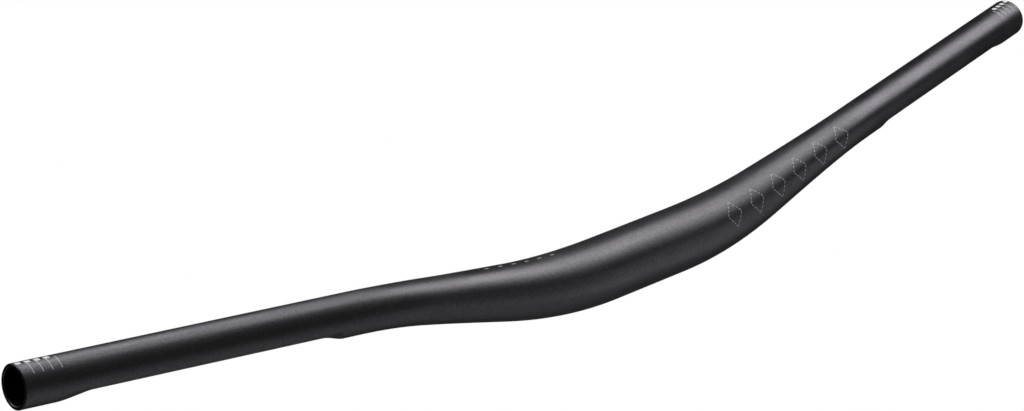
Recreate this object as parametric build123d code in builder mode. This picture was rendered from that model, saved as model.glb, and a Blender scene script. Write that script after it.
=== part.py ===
"""Riser handlebar: a one-piece butted tube, bent up and then back on each side.

The origin is the centre of the stem clamp, with +X to one grip, +Y to the rider and +Z up.
The right half is modelled along its centreline and then mirrored.
"""
import os
from math import acos, cos, degrees, hypot, radians, sin, tan

from build123d import *

# Centreline, in millimetres and degrees
BAR_WIDTH = 800.0              # between the centres of the two open ends
RISE = 42.0                    # centre of an open end above the centre of the clamp
RISE_ANGLE = 11.0              # climb of the straight run between the two bends
UPSWEEP = 5.0                  # climb of the grip
BACKSWEEP = 9.0                # turn of the grip towards the rider
RISE_BEND_RADIUS = 400.0       # bend beside the clamp
SWEEP_BEND_RADIUS = 250.0      # bend before the grip

# Butted tube
CLAMP_DIAMETER = 35.0
CLAMP_LENGTH = 56.0            # straight middle at full size
GRIP_DIAMETER = 22.2
TAPER_LENGTH = 174.0           # from clamp size to grip size, along the centreline
CLAMP_WALL = 2.4
ARM_WALL = 1.7                 # thinnest, half way along the taper
GRIP_WALL = 2.0
END_CHAMFER = 0.4              # broken edges of the open ends
ARM_LOFTS = 10                 # short lofts that follow one another along each bent arm

# Flat pressed into the underside of each grip, the wall keeping its thickness
FLAT_DEPTH = 2.5
FLAT_TILT = 14.0               # turn of the flat from straight down towards the front
FLAT_CORNER = 1.5              # rounding between the flat and the tube
END_STUB = 19.0                # round stretch at the open end
BEND_STUB = 8.0                # round stretch next to the bend
OUTER_RAMP = 26.0              # run-out of the flat towards the open end
INNER_RAMP = 10.0              # run-out of the flat towards the bend
RAMP_STATIONS = 5              # sections that carry each run-out

BORE_OVERRUN = 5.0             # how far the solid of the bore runs past the open end

# Directions of the three straight runs of the right half
clamp_direction = Vector(1, 0, 0)
rise_direction = Vector(1, 0, tan(radians(RISE_ANGLE))).normalized()
grip_direction = Vector(1, tan(radians(BACKSWEEP)), tan(radians(UPSWEEP))).normalized()

# Corners where the runs would meet: the two outer runs are as long as width and rise ask for
rise_turn = radians(clamp_direction.get_angle(rise_direction))
rise_corner = clamp_direction * (CLAMP_LENGTH / 2 + RISE_BEND_RADIUS * tan(rise_turn / 2))
reach = BAR_WIDTH / 2 - rise_corner.X
spread = rise_direction.Z * grip_direction.X - rise_direction.X * grip_direction.Z
rise_run = (RISE * grip_direction.X - reach * grip_direction.Z) / spread
grip_run = (reach * rise_direction.Z - RISE * rise_direction.X) / spread
sweep_corner = rise_corner + rise_direction * rise_run
bar_end = sweep_corner + grip_direction * grip_run

with BuildLine() as centreline:
    FilletPolyline(
        (0, 0, 0), rise_corner, sweep_corner, bar_end, radius=[RISE_BEND_RADIUS, SWEEP_BEND_RADIUS]
    )
path = centreline.wire()

# Distances along the centreline at which the tube changes
sweep_turn = radians(rise_direction.get_angle(grip_direction))
sweep_end = path.length - grip_run + SWEEP_BEND_RADIUS * tan(sweep_turn / 2)
arm_start = CLAMP_LENGTH / 2
arm_end = max(sweep_end, arm_start + TAPER_LENGTH)
inner_ramp_start = arm_end + BEND_STUB
outer_ramp_end = path.length - END_STUB


def smooth_step(share: float) -> float:
    """Share that eases from 0 to 1, with no slope at either end."""
    share = min(max(share, 0.0), 1.0)
    return share * share * (3 - 2 * share)


def outer_radius(distance: float) -> float:
    """Outside radius of the tube at a distance along the centreline."""
    taper = smooth_step((distance - arm_start) / TAPER_LENGTH)
    return (CLAMP_DIAMETER + (GRIP_DIAMETER - CLAMP_DIAMETER) * taper) / 2


def bore_radius(distance: float) -> float:
    """Inside radius of the tube: the wall thins as far as the middle of the taper, then thickens."""
    share = (distance - arm_start) / TAPER_LENGTH
    thinning = (CLAMP_WALL - ARM_WALL) * smooth_step(2 * share)
    thickening = (GRIP_WALL - ARM_WALL) * smooth_step(2 * share - 1)
    return outer_radius(distance) - CLAMP_WALL + thinning - thickening


def section_plane(distance: float, turn: float = 0) -> Plane:
    """Plane square to the centreline, with its lower side turned from straight down towards the front."""
    along = path.tangent_at(distance, PositionMode.LENGTH)
    to_rider = Vector(0, 0, 1).cross(along).rotate(Axis((0, 0, 0), along), -turn)
    return Plane(origin=path.position_at(distance, PositionMode.LENGTH), x_dir=to_rider, z_dir=along)


def round_section(distance: float, radius: float) -> Face:
    """Round outline at a distance along the centreline, in a rear and a front half."""
    rear_half = CenterArc((0, 0), radius, -90, 180)
    front_half = CenterArc((0, 0), radius, 90, 180)
    return section_plane(distance) * Face(Wire([rear_half, front_half]))


def pressed_section(distance: float, radius: float, share: float) -> Face:
    """Round outline with a share of the full flat pressed into its underside.

    Each point of the pressed side lies on a ray from the centre, between the circle and the full flat.
    """
    corner_reach = radius - FLAT_CORNER
    edge_angle = acos((radius - FLAT_DEPTH - FLAT_CORNER) / corner_reach)
    corner_x = corner_reach * sin(edge_angle)
    corner_y = -corner_reach * cos(edge_angle)
    crown_x = corner_x + FLAT_CORNER * sin(edge_angle / 2)
    crown_y = corner_y - FLAT_CORNER * cos(edge_angle / 2)

    def pressed(x: float, y: float) -> Vector:
        """Point between the circle and the point x, y of the full flat, on the same ray."""
        return Vector(x, y) * (share + (1 - share) * radius / hypot(x, y))

    crown = pressed(crown_x, crown_y)
    flat_end = pressed(corner_x, FLAT_DEPTH - radius)
    middle = pressed(0, FLAT_DEPTH - radius)
    tube_arc = CenterArc((0, 0), radius, degrees(edge_angle) - 90, 360 - 2 * degrees(edge_angle))
    front_arc = ThreePointArc(tube_arc @ 1, (-crown.X, crown.Y), (-flat_end.X, flat_end.Y))
    rear_arc = ThreePointArc(flat_end, crown, tube_arc @ 0)
    if share < 1:
        base = ThreePointArc(front_arc @ 1, middle, rear_arc @ 0)
    else:
        base = Line(front_arc @ 1, rear_arc @ 0)
    return section_plane(distance, FLAT_TILT) * Face(Wire([tube_arc, front_arc, base, rear_arc]))


def tube_half(radius_at, overrun: float) -> Part:
    """Solid along the right half, from the clamp to the open end.

    Args:
        radius_at: Radius of the solid at a distance along the centreline.
        overrun: How far the solid runs past the open end.
    """
    radius = radius_at(arm_end)
    flat_start = inner_ramp_start + INNER_RAMP
    flat_end = outer_ramp_end - OUTER_RAMP
    half_loft = (arm_end - arm_start) / (2 * ARM_LOFTS)
    arm_distances = [arm_start + half_loft * station for station in range(2 * ARM_LOFTS + 1)]
    ramp_shares = [station / (RAMP_STATIONS - 1) for station in range(RAMP_STATIONS)]
    middle = round_section(0, radius_at(0))
    arm = [round_section(distance, radius_at(distance)) for distance in arm_distances]
    inner_ramp = [
        pressed_section(inner_ramp_start + INNER_RAMP * share, radius, smooth_step(share)) for share in ramp_shares
    ]
    outer_ramp = [
        pressed_section(outer_ramp_end - OUTER_RAMP * share, radius, smooth_step(share)) for share in ramp_shares
    ]
    end = round_section(outer_ramp_end, radius)
    with BuildPart() as half:
        extrude(middle, amount=arm_start)
        for first in range(0, 2 * ARM_LOFTS, 2):
            loft(arm[first : first + 3])
        extrude(arm[-1], amount=BEND_STUB)
        loft(inner_ramp)
        extrude(inner_ramp[-1], amount=flat_end - flat_start, dir=grip_direction)
        loft(outer_ramp)
        extrude(end, amount=END_STUB + overrun)
    return half.part


with BuildPart() as riser_bar:
    add(tube_half(outer_radius, 0))
    add(tube_half(bore_radius, BORE_OVERRUN), mode=Mode.SUBTRACT)
    open_end = riser_bar.faces().filter_by(GeomType.PLANE).sort_by(Axis(bar_end, grip_direction))[-1]
    chamfer(open_end.edges(), length=END_CHAMFER)
    mirror(about=Plane.YZ)

riser_bar.part.label = "riser_bar"

os.makedirs("parts", exist_ok=True)
export_step(riser_bar.part, "parts/riser_bar.step")
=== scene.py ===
"""Riser handlebar in a plain studio: the skin of the tube, its etched marks, the light and the camera.

Sizes are in millimetres and degrees until a mesh is made, which is in metres. The frame is the part's own:
origin at the centre of the stem clamp, +X to the right grip, +Y to the rider and +Z up.
"""
import logging
from abc import ABC, abstractmethod
from dataclasses import dataclass
from enum import Enum
from typing import NamedTuple

import bpy
import numpy as np
from mathutils import Matrix, Vector


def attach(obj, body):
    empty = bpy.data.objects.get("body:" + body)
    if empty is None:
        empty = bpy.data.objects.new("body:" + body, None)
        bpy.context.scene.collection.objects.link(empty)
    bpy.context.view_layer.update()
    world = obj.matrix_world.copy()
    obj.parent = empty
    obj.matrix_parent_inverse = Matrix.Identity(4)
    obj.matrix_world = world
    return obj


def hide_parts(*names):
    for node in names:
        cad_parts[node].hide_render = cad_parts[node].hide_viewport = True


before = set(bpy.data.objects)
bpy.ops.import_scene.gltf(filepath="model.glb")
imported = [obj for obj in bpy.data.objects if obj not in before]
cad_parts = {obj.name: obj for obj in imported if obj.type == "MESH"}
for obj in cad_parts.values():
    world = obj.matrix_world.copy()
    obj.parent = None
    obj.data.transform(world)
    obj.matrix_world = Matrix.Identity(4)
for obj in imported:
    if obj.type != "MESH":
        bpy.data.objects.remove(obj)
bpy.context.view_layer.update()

Array = np.ndarray
Colour = tuple[float, float, float]
Place = tuple[float, float, float]

METRES = 0.001                     # metres in a millimetre
SHARP_ANGLE = 30.0                 # edges that turn by more than this, in degrees, stay sharp
NOISE_LOW = 0.3                    # nearly all of a noise lies between these two values
NOISE_HIGH = 0.7
ONE_QUAD = np.array([[0, 1, 2, 3]])

log = logging.getLogger("riser_bar")


class Side(Enum):
    """Half of the bar, as the sign of its X."""

    LEFT = -1
    RIGHT = 1


def smooth_step(share: Array) -> Array:
    """Share that eases from 0 to 1, with no slope at either end.

    Args:
        share: Values of any shape; they are held between 0 and 1.

    Returns:
        3 s^2 - 2 s^3 of each value s.
    """
    share = np.clip(share, 0.0, 1.0)
    return share * share * (3 - 2 * share)


def unit(vector: Array) -> Array:
    """Vectors of length 1 along the last axis of an array."""
    return vector / np.linalg.norm(vector, axis=-1, keepdims=True)


def spread(stops: list[float], counts: tuple[int, ...]) -> Array:
    """Even steps between stops, with each stop named once.

    Args:
        stops: Rising values.
        counts: Number of steps from each stop to the next.

    Returns:
        All the values, from the first stop to the last.
    """
    parts = [np.linspace(a, b, n, endpoint=False) for a, b, n in zip(stops, stops[1:], counts)]
    return np.concatenate(parts + [stops[-1:]])


def grid_faces(rows: int, columns: int, close_rows: bool) -> Array:
    """Quads of a grid of points that is closed across its columns.

    Args:
        rows: Number of rings along the path.
        columns: Number of points in each ring.
        close_rows: Whether the last ring joins the first.

    Returns:
        Four point numbers for each quad.
    """
    numbers = np.arange(rows * columns).reshape(rows, columns)
    if close_rows:
        numbers = np.concatenate([numbers, numbers[:1]])
    numbers = np.concatenate([numbers, numbers[:, :1]], axis=1)
    corners = (numbers[:-1, :-1], numbers[:-1, 1:], numbers[1:, 1:], numbers[1:, :-1])
    return np.stack(corners, axis=-1).reshape(-1, 4)


def mesh_object(name: str, points: Array, faces: Array) -> bpy.types.Object:
    """Smooth-shaded mesh of quads in the scene.

    Args:
        name: Name of the object and its mesh.
        points: Places of the points, in millimetres.
        faces: Four point numbers for each quad.

    Returns:
        The new object.
    """
    mesh = bpy.data.meshes.new(name)
    mesh.vertices.add(len(points))
    mesh.vertices.foreach_set("co", (points * METRES).astype(np.float32).ravel())
    mesh.loops.add(faces.size)
    mesh.loops.foreach_set("vertex_index", faces.astype(np.int32).ravel())
    mesh.polygons.add(len(faces))
    mesh.polygons.foreach_set("loop_start", np.arange(0, faces.size, 4, dtype=np.int32))
    mesh.polygons.foreach_set("use_smooth", np.ones(len(faces), dtype=bool))
    mesh.update(calc_edges=True)
    mesh.set_sharp_from_angle(angle=np.radians(SHARP_ANGLE))
    piece = bpy.data.objects.new(name, mesh)
    bpy.context.scene.collection.objects.link(piece)
    return piece


def principled(name: str) -> tuple[bpy.types.Material, bpy.types.NodeTree, bpy.types.Node]:
    """New material with a Principled shader.

    Args:
        name: Name of the material.

    Returns:
        The material, its node tree and its shader node.
    """
    material = bpy.data.materials.new(name)
    material.use_nodes = True
    tree = material.node_tree
    return material, tree, tree.nodes["Principled BSDF"]


def noise(tree: bpy.types.NodeTree, size: float, detail: float) -> bpy.types.NodeSocket:
    """Noise in object space with features of a given size.

    Args:
        tree: Node tree of the material.
        size: Size of the largest features, in millimetres.
        detail: Number of finer layers.

    Returns:
        The socket with the noise, from 0 to 1.
    """
    place = tree.nodes.new("ShaderNodeTexCoord")
    texture = tree.nodes.new("ShaderNodeTexNoise")
    texture.inputs["Scale"].default_value = 1 / (size * METRES)
    texture.inputs["Detail"].default_value = detail
    tree.links.new(place.outputs["Object"], texture.inputs["Vector"])
    return texture.outputs["Fac"]


def two_tone(
    tree: bpy.types.NodeTree, value: bpy.types.NodeSocket, low: Colour, high: Colour
) -> bpy.types.NodeSocket:
    """Colour that runs from one tone to another with a noise.

    Args:
        tree: Node tree of the material.
        value: Socket with the noise.
        low: Colour where the noise is low.
        high: Colour where the noise is high.

    Returns:
        The socket with the colour.
    """
    ramp = tree.nodes.new("ShaderNodeValToRGB")
    first, last = ramp.color_ramp.elements
    first.position = NOISE_LOW
    first.color = (*low, 1.0)
    last.position = NOISE_HIGH
    last.color = (*high, 1.0)
    tree.links.new(value, ramp.inputs["Fac"])
    return ramp.outputs["Color"]


def either(
    tree: bpy.types.NodeTree, first: bpy.types.NodeSocket, second: bpy.types.NodeSocket
) -> bpy.types.NodeSocket:
    """Value that is 1 where one of two values is 1.

    Args:
        tree: Node tree of the material.
        first: Socket with a value of 0 or 1.
        second: Socket with a value of 0 or 1.

    Returns:
        The socket with the sum, held at 1.
    """
    total = tree.nodes.new("ShaderNodeMath")
    total.operation = "ADD"
    total.use_clamp = True
    tree.links.new(first, total.inputs[0])
    tree.links.new(second, total.inputs[1])
    return total.outputs["Value"]


def mix_surface(
    tree: bpy.types.NodeTree,
    share: bpy.types.NodeSocket,
    first: bpy.types.NodeSocket,
    second: bpy.types.NodeSocket,
) -> None:
    """Makes the material's surface a mix of two shaders.

    Args:
        tree: Node tree of the material.
        share: Socket with the second shader's share.
        first: Output of the first shader.
        second: Output of the second shader.
    """
    mix = tree.nodes.new("ShaderNodeMixShader")
    tree.links.new(share, mix.inputs["Fac"])
    tree.links.new(first, mix.inputs[1])
    tree.links.new(second, mix.inputs[2])
    tree.links.new(mix.outputs["Shader"], tree.nodes["Material Output"].inputs["Surface"])


@dataclass(frozen=True)
class BlackAnodised:
    """Black anodised aluminium with a fine grain: satin where it was bead-blasted, else darker."""

    low: Colour = (0.0653, 0.0636, 0.0686)
    high: Colour = (0.1014, 0.0989, 0.1067)
    edge: Colour = (0.33, 0.33, 0.33)  # gloss at a glance, which the blasted pits shade
    metallic: float = 1.0
    roughness: tuple[float, float] = (0.33, 0.40)
    grain: float = 0.9             # size of the blasted pits, in millimetres
    grain_detail: float = 2.0
    cloud: float = 28.0            # size of the slow changes in gloss, in millimetres
    cloud_detail: float = 3.0
    pit_depth: float = 0.006       # in millimetres
    pit_strength: float = 0.25

    def material(self, name: str) -> bpy.types.Material:
        """Procedural material of the finish.

        Args:
            name: Name of the material.

        Returns:
            A material whose colour and bump follow the pits, and whose roughness follows the clouds.
        """
        material, tree, shader = principled(name)
        pits = noise(tree, self.grain, self.grain_detail)
        clouds = noise(tree, self.cloud, self.cloud_detail)
        tree.links.new(two_tone(tree, pits, self.low, self.high), shader.inputs["Base Color"])
        shader.inputs["Metallic"].default_value = self.metallic
        shader.inputs["Specular Tint"].default_value = (*self.edge, 1.0)
        gloss = tree.nodes.new("ShaderNodeMapRange")
        gloss.inputs["From Min"].default_value = NOISE_LOW
        gloss.inputs["From Max"].default_value = NOISE_HIGH
        gloss.inputs["To Min"].default_value = self.roughness[0]
        gloss.inputs["To Max"].default_value = self.roughness[1]
        tree.links.new(clouds, gloss.inputs["Value"])
        tree.links.new(gloss.outputs["Result"], shader.inputs["Roughness"])
        bump = tree.nodes.new("ShaderNodeBump")
        bump.inputs["Strength"].default_value = self.pit_strength
        bump.inputs["Distance"].default_value = self.pit_depth * METRES
        tree.links.new(pits, bump.inputs["Height"])
        tree.links.new(bump.outputs["Normal"], shader.inputs["Normal"])
        return material


@dataclass(frozen=True)
class EtchedGrey:
    """Laser-etched aluminium oxide: matt and grey, a little mottled."""

    low: Colour = (0.46, 0.46, 0.465)
    high: Colour = (0.56, 0.56, 0.565)
    roughness: float = 0.6
    mottle: float = 0.6            # size of the mottling, in millimetres
    mottle_detail: float = 2.0

    def material(self, name: str) -> bpy.types.Material:
        """Procedural material of the finish.

        Args:
            name: Name of the material.

        Returns:
            A material whose colour follows the mottling.
        """
        material, tree, shader = principled(name)
        mottling = noise(tree, self.mottle, self.mottle_detail)
        tree.links.new(two_tone(tree, mottling, self.low, self.high), shader.inputs["Base Color"])
        shader.inputs["Roughness"].default_value = self.roughness
        return material


@dataclass(frozen=True)
class Centreline:
    """Middle line of the tube: half the clamp, the rise bend, a straight run, the sweep bend and the grip."""

    width: float = 800.0           # between the centres of the two open ends
    rise: float = 42.0             # centre of an open end above the centre of the clamp
    rise_angle: float = 11.0       # climb of the straight run
    upsweep: float = 5.0           # climb of the grip
    backsweep: float = 9.0         # turn of the grip towards the rider
    rise_radius: float = 400.0
    sweep_radius: float = 250.0
    clamp_length: float = 56.0

    def directions(self) -> tuple[Array, Array, Array]:
        """Directions of the right half's three straight runs.

        Returns:
            Unit vectors along the clamp, the straight run and the grip.
        """
        climb, upsweep, backsweep = np.tan(np.radians([self.rise_angle, self.upsweep, self.backsweep]))
        clamp = np.array([1.0, 0.0, 0.0])
        return clamp, unit(np.array([1.0, 0.0, climb])), unit(np.array([1.0, backsweep, upsweep]))

    def runs(self) -> Array:
        """Lengths of the five runs.

        Returns:
            Clamp, rise bend, straight run, sweep bend and grip. The straight run and the grip are as long as
            the width and the rise ask for.
        """
        clamp, rise, grip = self.directions()
        rise_turn = np.arccos(clamp @ rise)
        sweep_turn = np.arccos(rise @ grip)
        rise_cut = self.rise_radius * np.tan(rise_turn / 2)
        sweep_cut = self.sweep_radius * np.tan(sweep_turn / 2)
        reach = np.array([self.width / 2 - self.clamp_length / 2 - rise_cut, self.rise])
        rise_run, grip_run = np.linalg.solve(np.stack([rise[[0, 2]], grip[[0, 2]]], axis=1), reach)
        return np.array(
            [
                self.clamp_length / 2,
                self.rise_radius * rise_turn,
                rise_run - rise_cut - sweep_cut,
                self.sweep_radius * sweep_turn,
                grip_run - sweep_cut,
            ]
        )

    def place(self, distance: Array) -> tuple[Array, Array]:
        """Points and directions of the right half's centreline.

        A bend of radius R that has turned by the angle a has moved its point by R (d sin a + n (1 - cos a)),
        with d the direction before the bend and n square to d in the bend's plane.

        Args:
            distance: Distances from the middle of the clamp, of any shape.

        Returns:
            The points and the unit directions, with one axis more than the distances.
        """
        clamp, rise, grip = self.directions()
        runs = self.runs()
        starts = np.cumsum(runs) - runs
        gone = np.clip(distance[..., None] - starts, 0.0, runs)
        upward = unit(rise - clamp * (clamp @ rise))
        backward = unit(grip - rise * (rise @ grip))
        up_turn = gone[..., 1:2] / self.rise_radius
        back_turn = gone[..., 3:4] / self.sweep_radius
        rise_bend = np.sin(up_turn) * clamp + (1 - np.cos(up_turn)) * upward
        sweep_bend = np.sin(back_turn) * rise + (1 - np.cos(back_turn)) * backward
        point = (
            gone[..., 0:1] * clamp
            + rise_bend * self.rise_radius
            + gone[..., 2:3] * rise
            + sweep_bend * self.sweep_radius
            + gone[..., 4:5] * grip
        )
        before = np.cos(up_turn) * clamp + np.sin(up_turn) * upward
        after = np.cos(back_turn) * rise + np.sin(back_turn) * backward
        return point, np.where(back_turn > 0, after, before)


class Stops(NamedTuple):
    """Distances along the centreline at which the tube changes."""

    middle: float
    arm_start: float
    arm_end: float
    inner_start: float             # run-out of the flat towards the bend
    inner_end: float
    outer_start: float             # run-out of the flat towards the open end
    outer_end: float
    open_end: float


@dataclass(frozen=True)
class Tube:
    """Butted tube along the centreline, with a flat pressed under each grip."""

    line: Centreline = Centreline()
    clamp_diameter: float = 35.0
    grip_diameter: float = 22.2
    taper_length: float = 174.0    # from clamp size to grip size, along the centreline
    clamp_wall: float = 2.4
    arm_wall: float = 1.7          # thinnest, half way along the taper
    grip_wall: float = 2.0
    end_chamfer: float = 0.4
    flat_depth: float = 2.5
    flat_tilt: float = 14.0        # turn of the flat from straight down towards the front
    flat_corner: float = 1.5       # rounding between the flat and the tube
    end_stub: float = 19.0         # round stretch at the open end
    bend_stub: float = 8.0         # round stretch next to the bend
    outer_ramp: float = 26.0       # run-out of the flat towards the open end
    inner_ramp: float = 10.0       # run-out of the flat towards the bend
    stations: tuple[int, ...] = (4, 60, 3, 14, 30, 26, 6)  # rings from each stop to the next
    ring: tuple[int, ...] = (10, 20, 10, 72)  # points on a corner, the flat, a corner and the round side
    outside: BlackAnodised = BlackAnodised()
    inside: BlackAnodised = BlackAnodised(low=(0.030, 0.0295, 0.0315), high=(0.050, 0.049, 0.052))

    def stops(self) -> Stops:
        """Distances along the centreline at which the tube changes.

        Returns:
            The stops of the right half. The arm ends with the sweep bend or the taper, whichever is longer.
        """
        runs = self.line.runs()
        arm_end = max(runs[:4].sum(), runs[0] + self.taper_length)
        inner = arm_end + self.bend_stub
        outer = runs.sum() - self.end_stub
        return Stops(
            middle=0.0,
            arm_start=runs[0],
            arm_end=arm_end,
            inner_start=inner,
            inner_end=inner + self.inner_ramp,
            outer_start=outer - self.outer_ramp,
            outer_end=outer,
            open_end=runs.sum(),
        )

    def outer_radius(self, distance: Array) -> Array:
        """Outside radius of the round tube at distances from the middle."""
        taper = smooth_step((np.abs(distance) - self.line.clamp_length / 2) / self.taper_length)
        return (self.clamp_diameter + (self.grip_diameter - self.clamp_diameter) * taper) / 2

    def bore_radius(self, distance: Array) -> Array:
        """Inside radius of the round tube: the wall thins up to the middle of the taper, then thickens.

        Args:
            distance: Distances from the middle.

        Returns:
            Outside radius less the wall, of the same shape.
        """
        share = (np.abs(distance) - self.line.clamp_length / 2) / self.taper_length
        thinning = (self.clamp_wall - self.arm_wall) * smooth_step(2 * share)
        thickening = (self.grip_wall - self.arm_wall) * smooth_step(2 * share - 1)
        return self.outer_radius(distance) - self.clamp_wall + thinning - thickening

    def edge_angle(self, radius: Array) -> Array:
        """Angle, in radians, from the middle of the flat to where its rounded corner meets the tube."""
        return np.arccos((radius - self.flat_depth - self.flat_corner) / (radius - self.flat_corner))

    def corner_angle(self, radius: Array) -> Array:
        """Angle, in radians, from the middle of the flat to where its rounded corner begins."""
        half_width = (radius - self.flat_corner) * np.sin(self.edge_angle(radius))
        return np.arctan2(half_width, radius - self.flat_depth)

    def pressed(self, distance: Array, angle: Array, radius: Array) -> Array:
        """Radius of the tube with the flat pressed in.

        With a the angle from the middle of the flat, the full flat lies at (r - depth) / cos a, its corner at
        m cos(a - e) + sqrt(c^2 - m^2 sin^2(a - e)), and the tube at r. Here c is the corner's radius, m is
        r - c and e is the edge angle. The run-outs take a share of the step from r to that.

        Args:
            distance: Distances from the middle.
            angle: Angles from the middle of the flat, in radians from -pi to pi.
            radius: Radius of the round tube.

        Returns:
            Distance from the centreline, of the arrays' common shape.
        """
        stops = self.stops()
        beyond = np.abs(distance)
        rising = smooth_step((beyond - stops.inner_start) / (stops.inner_end - stops.inner_start))
        falling = smooth_step((stops.outer_end - beyond) / (stops.outer_end - stops.outer_start))
        edge = self.edge_angle(radius)
        corner_start = self.corner_angle(radius)
        reach = radius - self.flat_corner
        away = np.abs(angle)
        off_edge = np.minimum(away, edge) - edge
        corner = reach * np.cos(off_edge) + np.sqrt(
            np.maximum(self.flat_corner**2 - (reach * np.sin(off_edge)) ** 2, 0.0)
        )
        flat = (radius - self.flat_depth) / np.cos(np.minimum(away, corner_start))
        full = np.where(away < corner_start, flat, corner)
        return radius + rising * falling * (full - radius)

    def skin(self, distance: Array, turn: Array, radius: Array) -> Array:
        """Points at a radius from the centreline.

        The point is p + r (u cos t - b sin t), with u the upward and b the rearward direction square to the
        centreline at p, and X changes sign on the left half.

        Args:
            distance: Distances from the middle, negative on the left half.
            turn: Angles from straight up towards the front, in radians.
            radius: Distances from the centreline.

        Returns:
            Points in millimetres, with one axis more than the arrays' common shape.
        """
        distance, turn, radius = np.broadcast_arrays(distance, turn, radius)
        point, along = self.line.place(np.abs(distance))
        rearward = unit(np.cross([0.0, 0.0, 1.0], along))
        upward = np.cross(along, rearward)
        outward = np.cos(turn)[..., None] * upward - np.sin(turn)[..., None] * rearward
        side = np.stack([np.sign(distance), np.ones(distance.shape), np.ones(distance.shape)], axis=-1)
        return (point + radius[..., None] * outward) * side

    def build(self) -> bpy.types.Object:
        """Closed skin: outside, right rim, bore and left rim, one ring of points after another.

        Returns:
            The object, dressed and riding on the bar's body.
        """
        stops = self.stops()
        half = spread([*stops[:-1], stops.open_end - self.end_chamfer], self.stations)
        along = np.concatenate([-half[:0:-1], half])
        grip_radius = self.grip_diameter / 2
        edge = self.edge_angle(grip_radius)
        corner = self.corner_angle(grip_radius)
        angle = spread([-edge, -corner, corner, edge, 2 * np.pi - edge], self.ring)[:-1]
        angle = np.where(angle > np.pi, angle - 2 * np.pi, angle)
        outside = self.pressed(along[:, None], angle, self.outer_radius(along)[:, None])
        inside = self.pressed(along[:, None], angle, self.bore_radius(along)[:, None])
        rim = np.full(2, stops.open_end)
        rim_edges = [grip_radius - self.end_chamfer, grip_radius - self.grip_wall + self.end_chamfer]
        rim_radius = np.broadcast_to(np.array(rim_edges)[:, None], (2, len(angle)))
        distance = np.concatenate([along, rim, along[::-1], -rim])
        radius = np.concatenate([outside, rim_radius, inside[::-1], rim_radius[::-1]])
        points = self.skin(distance[:, None], np.pi - np.radians(self.flat_tilt) + angle, radius)
        faces = grid_faces(len(distance), len(angle), close_rows=True)
        piece = mesh_object("bar_skin", points.reshape(-1, 3), faces)
        inner = np.repeat(np.arange(len(distance)) >= len(along) - 1, len(angle))
        piece.data.polygons.foreach_set("material_index", inner.astype(np.int32))
        piece.data.materials.append(self.outside.material("blasted_black"))
        piece.data.materials.append(self.inside.material("drawn_black"))
        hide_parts("riser_bar")
        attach(piece, "root")
        return piece


@dataclass
class EtchedMarks(ABC):
    """Straight etched strokes on the skin of the tube, each a thin closed plate bent to the skin."""

    tube: Tube
    name: str
    finish: EtchedGrey = EtchedGrey()
    corner: float = 0.0            # rounding of a stroke's four corners
    proud: float = 0.02            # above the skin, so that the mark shows
    sunk: float = 0.08             # below the skin
    steps: int = 13                # points along a stroke

    @abstractmethod
    def strokes(self) -> tuple[Array, Array]:
        """Ends and widths of the strokes.

        Returns:
            Ends as (stroke, end, 2) with the distance from the middle and the turn from straight up towards
            the front, in millimetres and radians, and the width of each stroke.
        """

    def build(self) -> bpy.types.Object:
        """Plates of all the strokes as one mesh.

        Seen flat, a stroke runs along a straight line, and its two edges lie half its width to the sides of
        that line. At x from an end, rounded corners of radius c take c - sqrt(c^2 - (c - x)^2) off that half.

        Returns:
            The object, dressed and riding on the bar's body.
        """
        ends, width = self.strokes()
        share = (1 - np.cos(np.linspace(0.0, np.pi, self.steps))) / 2
        middle = ends[:, :1] + (ends[:, 1:] - ends[:, :1]) * share[:, None]
        radius = self.tube.outer_radius(middle[..., 0])
        run = (ends[:, 1] - ends[:, 0])[:, None] * np.stack([np.ones(radius.shape), radius], axis=-1)
        length = np.linalg.norm(run, axis=-1)
        inset = np.maximum(self.corner - np.minimum(share, 1 - share) * length, 0.0)
        half = width[:, None] / 2 - self.corner + np.sqrt(self.corner**2 - inset**2)
        across = np.array([-1.0, 0.0, 1.0])
        offset = (half / length)[..., None] * across
        distance = middle[..., :1] - offset * run[..., 1:]
        turn = middle[..., 1:] + offset * run[..., :1] / radius[..., None]
        skin_radius = self.tube.outer_radius(distance)
        top = self.tube.skin(distance, turn, skin_radius + self.proud)
        base = self.tube.skin(distance, turn, skin_radius - self.sunk)
        points = np.concatenate([top, base[:, :, ::-1]], axis=2)
        columns = 2 * len(across)
        sides = grid_faces(self.steps, columns, close_rows=False)
        upper = np.arange(len(across) - 1)
        lower = columns - 1 - upper
        cap = np.stack([upper, lower, lower - 1, upper + 1], axis=1)
        far_cap = cap[:, ::-1] + (self.steps - 1) * columns
        faces = np.concatenate([sides, cap, far_cap])
        starts = np.arange(len(ends)) * self.steps * columns
        faces = (faces[None] + starts[:, None, None]).reshape(-1, 4)
        piece = mesh_object(self.name, points.reshape(-1, 3), faces)
        piece.data.materials.append(self.finish.material(self.name + "_finish"))
        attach(piece, "root")
        return piece


@dataclass
class CutLines(EtchedMarks):
    """Guide lines round each open end, for cutting the bar to a shorter width."""

    first: float = 6.3             # from the open end to the outermost mark
    pitch: float = 5.1
    count: int = 4                 # at each end
    turn: tuple[float, float] = (15.0, 57.0)
    width: float = 0.38

    def strokes(self) -> tuple[Array, Array]:
        """Ends and widths of the strokes, one round the tube for each mark on both halves.

        Returns:
            The ends and widths, as in the base class.
        """
        distance = self.tube.stops().open_end - self.first - self.pitch * np.arange(self.count)
        signed = np.concatenate([side.value * distance for side in Side])
        turns = np.broadcast_to(np.radians(self.turn), (len(signed), 2))
        ends = np.stack([np.stack([signed, signed], axis=1), turns], axis=-1)
        return ends, np.full(len(signed), self.width)


@dataclass
class CutPads(CutLines):
    """Short pads on top of the bar, one outboard of each guide line."""

    first: float = 2.2
    turn: tuple[float, float] = (4.5, 18.0)
    width: float = 3.0
    corner: float = 0.6


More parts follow.
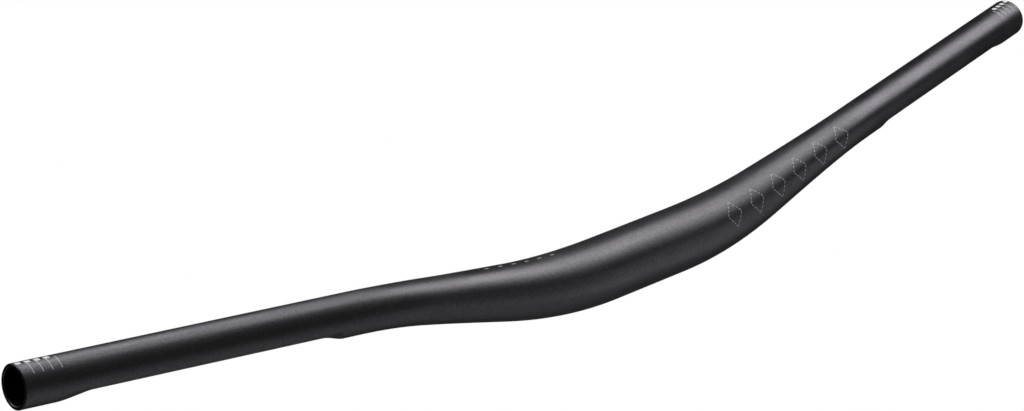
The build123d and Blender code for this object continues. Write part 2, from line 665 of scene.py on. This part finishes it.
@dataclass
class LozengeRow(EtchedMarks):
    """Row of dashed lozenges along the front of one arm."""

    side: Side = Side.RIGHT
    first: float = 64.0            # middle of the first lozenge, along the centreline
    last: float = 172.0
    count: int = 6
    turn: float = 75.0             # middle of the row, from straight up towards the front
    length: float = 12.0           # of a lozenge along the bar
    height: float = 15.0           # of a lozenge round the bar
    dashes: int = 4                # on each of its four sides
    dash_share: float = 0.62       # of the pitch of the dashes
    width: float = 0.4

    def strokes(self) -> tuple[Array, Array]:
        """Ends and widths of all the dashes.

        A lozenge's corners lie half its length and half its height from its middle, and each dash takes the
        middle of an even part of a side.

        Returns:
            The ends and widths, as in the base class.
        """
        corners = np.array([[self.length, 0], [0, self.height], [-self.length, 0], [0, -self.height]]) / 2
        sides = np.roll(corners, -1, axis=0) - corners
        middles = (np.arange(self.dashes) + 0.5) / self.dashes
        reach = self.dash_share / 2 / self.dashes
        share = np.stack([middles - reach, middles + reach], axis=-1)
        dashes = corners[:, None, None] + sides[:, None, None] * share[..., None]
        dashes = dashes.reshape(-1, 2, 2)
        centre = self.side.value * np.linspace(self.first, self.last, self.count)
        distance = centre[:, None, None] + dashes[..., 0]
        turn = np.radians(self.turn) + dashes[..., 1] / self.tube.outer_radius(distance)
        ends = np.stack([distance, turn], axis=-1).reshape(-1, 2, 2)
        return ends, np.full(len(ends), self.width)


@dataclass
class TopTicks(EtchedMarks):
    """Row of short ticks along the top of one arm."""

    side: Side = Side.LEFT
    first: float = 72.0            # nearest to the clamp, along the centreline
    last: float = 122.0
    count: int = 6
    turn: float = 14.0
    length: float = 2.8
    width: float = 0.9

    def strokes(self) -> tuple[Array, Array]:
        """Ends and widths of the strokes, one along the bar for each tick.

        Returns:
            The ends and widths, as in the base class.
        """
        centre = self.side.value * np.linspace(self.first, self.last, self.count)
        distance = centre[:, None] + np.array([-self.length, self.length]) / 2
        turn = np.full(distance.shape, np.radians(self.turn))
        return np.stack([distance, turn], axis=-1), np.full(self.count, self.width)


@dataclass(frozen=True)
class SoftLamp:
    """Rectangular soft lamp that faces the bar."""

    name: str
    azimuth: float                 # from the front towards +X, in degrees
    elevation: float
    distance: float                # from its target, in metres
    width: float                   # in metres
    height: float
    power: float                   # in watts
    target: Place = (0.0, 0.015, 0.02)  # in metres

    def build(self) -> None:
        """Area lamp with its face turned to the target, which the camera does not see."""
        lamp = bpy.data.lights.new(self.name, "AREA")
        lamp.shape = "RECTANGLE"
        lamp.size = self.width
        lamp.size_y = self.height
        lamp.energy = self.power
        azimuth, elevation = np.radians([self.azimuth, self.elevation])
        out = Vector(
            (np.sin(azimuth) * np.cos(elevation), -np.cos(azimuth) * np.cos(elevation), np.sin(elevation))
        )
        holder = bpy.data.objects.new(self.name, lamp)
        holder.location = Vector(self.target) + out * self.distance
        holder.rotation_euler = out.to_track_quat("Z", "Y").to_euler()
        holder.visible_camera = False
        bpy.context.scene.collection.objects.link(holder)


@dataclass(frozen=True)
class Studio:
    """Pale floor, white card behind the bar, soft lamps, dim room and camera."""

    camera_place: Place = (-1479.19, -1337.09, 414.40)
    camera_target: Place = (-73.68, 15.0, 45.26)
    camera_roll: float = 9.5086
    lens: float = 135.149          # focal length
    sensor: float = 36.0           # width
    floor_level: float = -980.0
    floor_reach: float = 8000.0
    paper_colour: Colour = (0.75, 0.75, 0.75)  # of the floor and the card
    paper_roughness: float = 0.9
    card_distance: float = 5000.0  # from the camera, along the floor
    card_width: float = 1600.0
    card_top: float = -110.0
    room: float = 0.095            # strength of the light from all round
    lamps: tuple[SoftLamp, ...] = (
        SoftLamp("key", azimuth=75.0, elevation=41.0, distance=1.2, width=0.84, height=1.2, power=8.5),
        SoftLamp("side", azimuth=82.0, elevation=28.0, distance=2.4, width=1.2, height=1.2, power=13.8),
        SoftLamp("rear_top", azimuth=152.0, elevation=66.0, distance=0.8, width=0.5, height=0.5, power=3.0),
        SoftLamp("overhead", azimuth=0.0, elevation=88.0, distance=1.3, width=0.6, height=0.7, power=2.2),
        SoftLamp(
            "left_rear",
            azimuth=-165.0,
            elevation=58.0,
            distance=0.9,
            width=0.8,
            height=0.8,
            power=7.5,
            target=(-0.33, 0.03, 0.04),
        ),
        SoftLamp(
            "low_front",
            azimuth=52.0,
            elevation=-26.0,
            distance=0.6,
            width=0.5,
            height=0.5,
            power=0.46,
            target=(0.14, 0.0, 0.02),
        ),
    )

    def paper(self, name: str) -> tuple[bpy.types.Material, bpy.types.NodeTree, bpy.types.NodeSocket]:
        """Pale matt paper.

        Args:
            name: Name of the material.

        Returns:
            The material, its node tree and the output of its shader.
        """
        material, tree, shader = principled(name)
        shader.inputs["Base Color"].default_value = (*self.paper_colour, 1.0)
        shader.inputs["Roughness"].default_value = self.paper_roughness
        return material, tree, shader.outputs["BSDF"]

    def build_floor(self) -> None:
        """Wide pale floor below the bar, which is clear when seen from below."""
        corners = np.array([[-1, -1, 0], [1, -1, 0], [1, 1, 0], [-1, 1, 0]])
        floor = mesh_object("floor", corners * self.floor_reach + [0, 0, self.floor_level], ONE_QUAD)
        material, tree, paper = self.paper("floor")
        below = tree.nodes.new("ShaderNodeNewGeometry").outputs["Backfacing"]
        clear = tree.nodes.new("ShaderNodeBsdfTransparent").outputs["BSDF"]
        mix_surface(tree, below, paper, clear)
        floor.data.materials.append(material)

    def build_card(self) -> None:
        """White card that stands on the floor behind the bar and fills the camera's view.

        The camera and mirrors see it as plain white; to other light it is pale paper.
        """
        place = np.array(self.camera_place)
        ahead = unit((np.array(self.camera_target) - place) * [1, 1, 0])
        aside = np.array([ahead[1], -ahead[0], 0.0])
        foot = place + ahead * self.card_distance
        low = np.array([foot[0], foot[1], self.floor_level])
        high = np.array([foot[0], foot[1], self.card_top])
        half = aside * self.card_width / 2
        card = mesh_object("card", np.stack([low - half, low + half, high + half, high - half]), ONE_QUAD)
        material, tree, paper = self.paper("card")
        rays = tree.nodes.new("ShaderNodeLightPath").outputs
        direct = either(tree, rays["Is Camera Ray"], rays["Is Glossy Ray"])
        shown = either(tree, direct, rays["Is Transmission Ray"])
        white = tree.nodes.new("ShaderNodeEmission").outputs["Emission"]
        mix_surface(tree, shown, paper, white)
        card.data.materials.append(material)

    def build_room(self) -> None:
        """Dim even white light from all round."""
        world = bpy.data.worlds.new("room")
        world.use_nodes = True
        backing = world.node_tree.nodes["Background"]
        backing.inputs["Color"].default_value = (1.0, 1.0, 1.0, 1.0)
        backing.inputs["Strength"].default_value = self.room
        bpy.context.scene.world = world

    def build_camera(self) -> None:
        """Camera at the photograph's viewing angle, turned about its axis by the roll."""
        place = Vector(self.camera_place) * METRES
        ahead = (Vector(self.camera_target) * METRES - place).normalized()
        level = ahead.cross(Vector((0, 0, 1))).normalized()
        right = Matrix.Rotation(np.radians(self.camera_roll), 3, ahead) @ level
        above = right.cross(ahead)
        lens = bpy.data.cameras.new("camera")
        lens.sensor_width = self.sensor
        lens.lens = self.lens
        camera = bpy.data.objects.new("camera", lens)
        turn = Matrix((right, above, -ahead)).transposed()
        camera.matrix_world = Matrix.Translation(place) @ turn.to_4x4()
        bpy.context.scene.collection.objects.link(camera)
        bpy.context.scene.camera = camera

    def build(self) -> None:
        """Whole studio round the bar."""
        self.build_floor()
        self.build_card()
        self.build_room()
        for lamp in self.lamps:
            lamp.build()
        self.build_camera()
        bpy.context.scene.view_settings.view_transform = "Standard"


def main() -> None:
    """Builds the bar, its marks and the studio."""
    logging.basicConfig(level=logging.INFO, format="%(name)s: %(message)s")
    tube = Tube()
    faint = EtchedGrey(low=(0.17, 0.17, 0.17), high=(0.25, 0.25, 0.25))
    parts: list[Tube | EtchedMarks] = [
        tube,
        CutLines(tube, "cut_lines"),
        CutPads(tube, "cut_pads"),
        LozengeRow(tube, "lozenge_row"),
        TopTicks(tube, "top_ticks", faint),
    ]
    for part in parts:
        piece = part.build()
        log.info("%s: %d points, %d quads", piece.name, len(piece.data.vertices), len(piece.data.polygons))
    Studio().build()


if __name__ == "__main__":
    main()
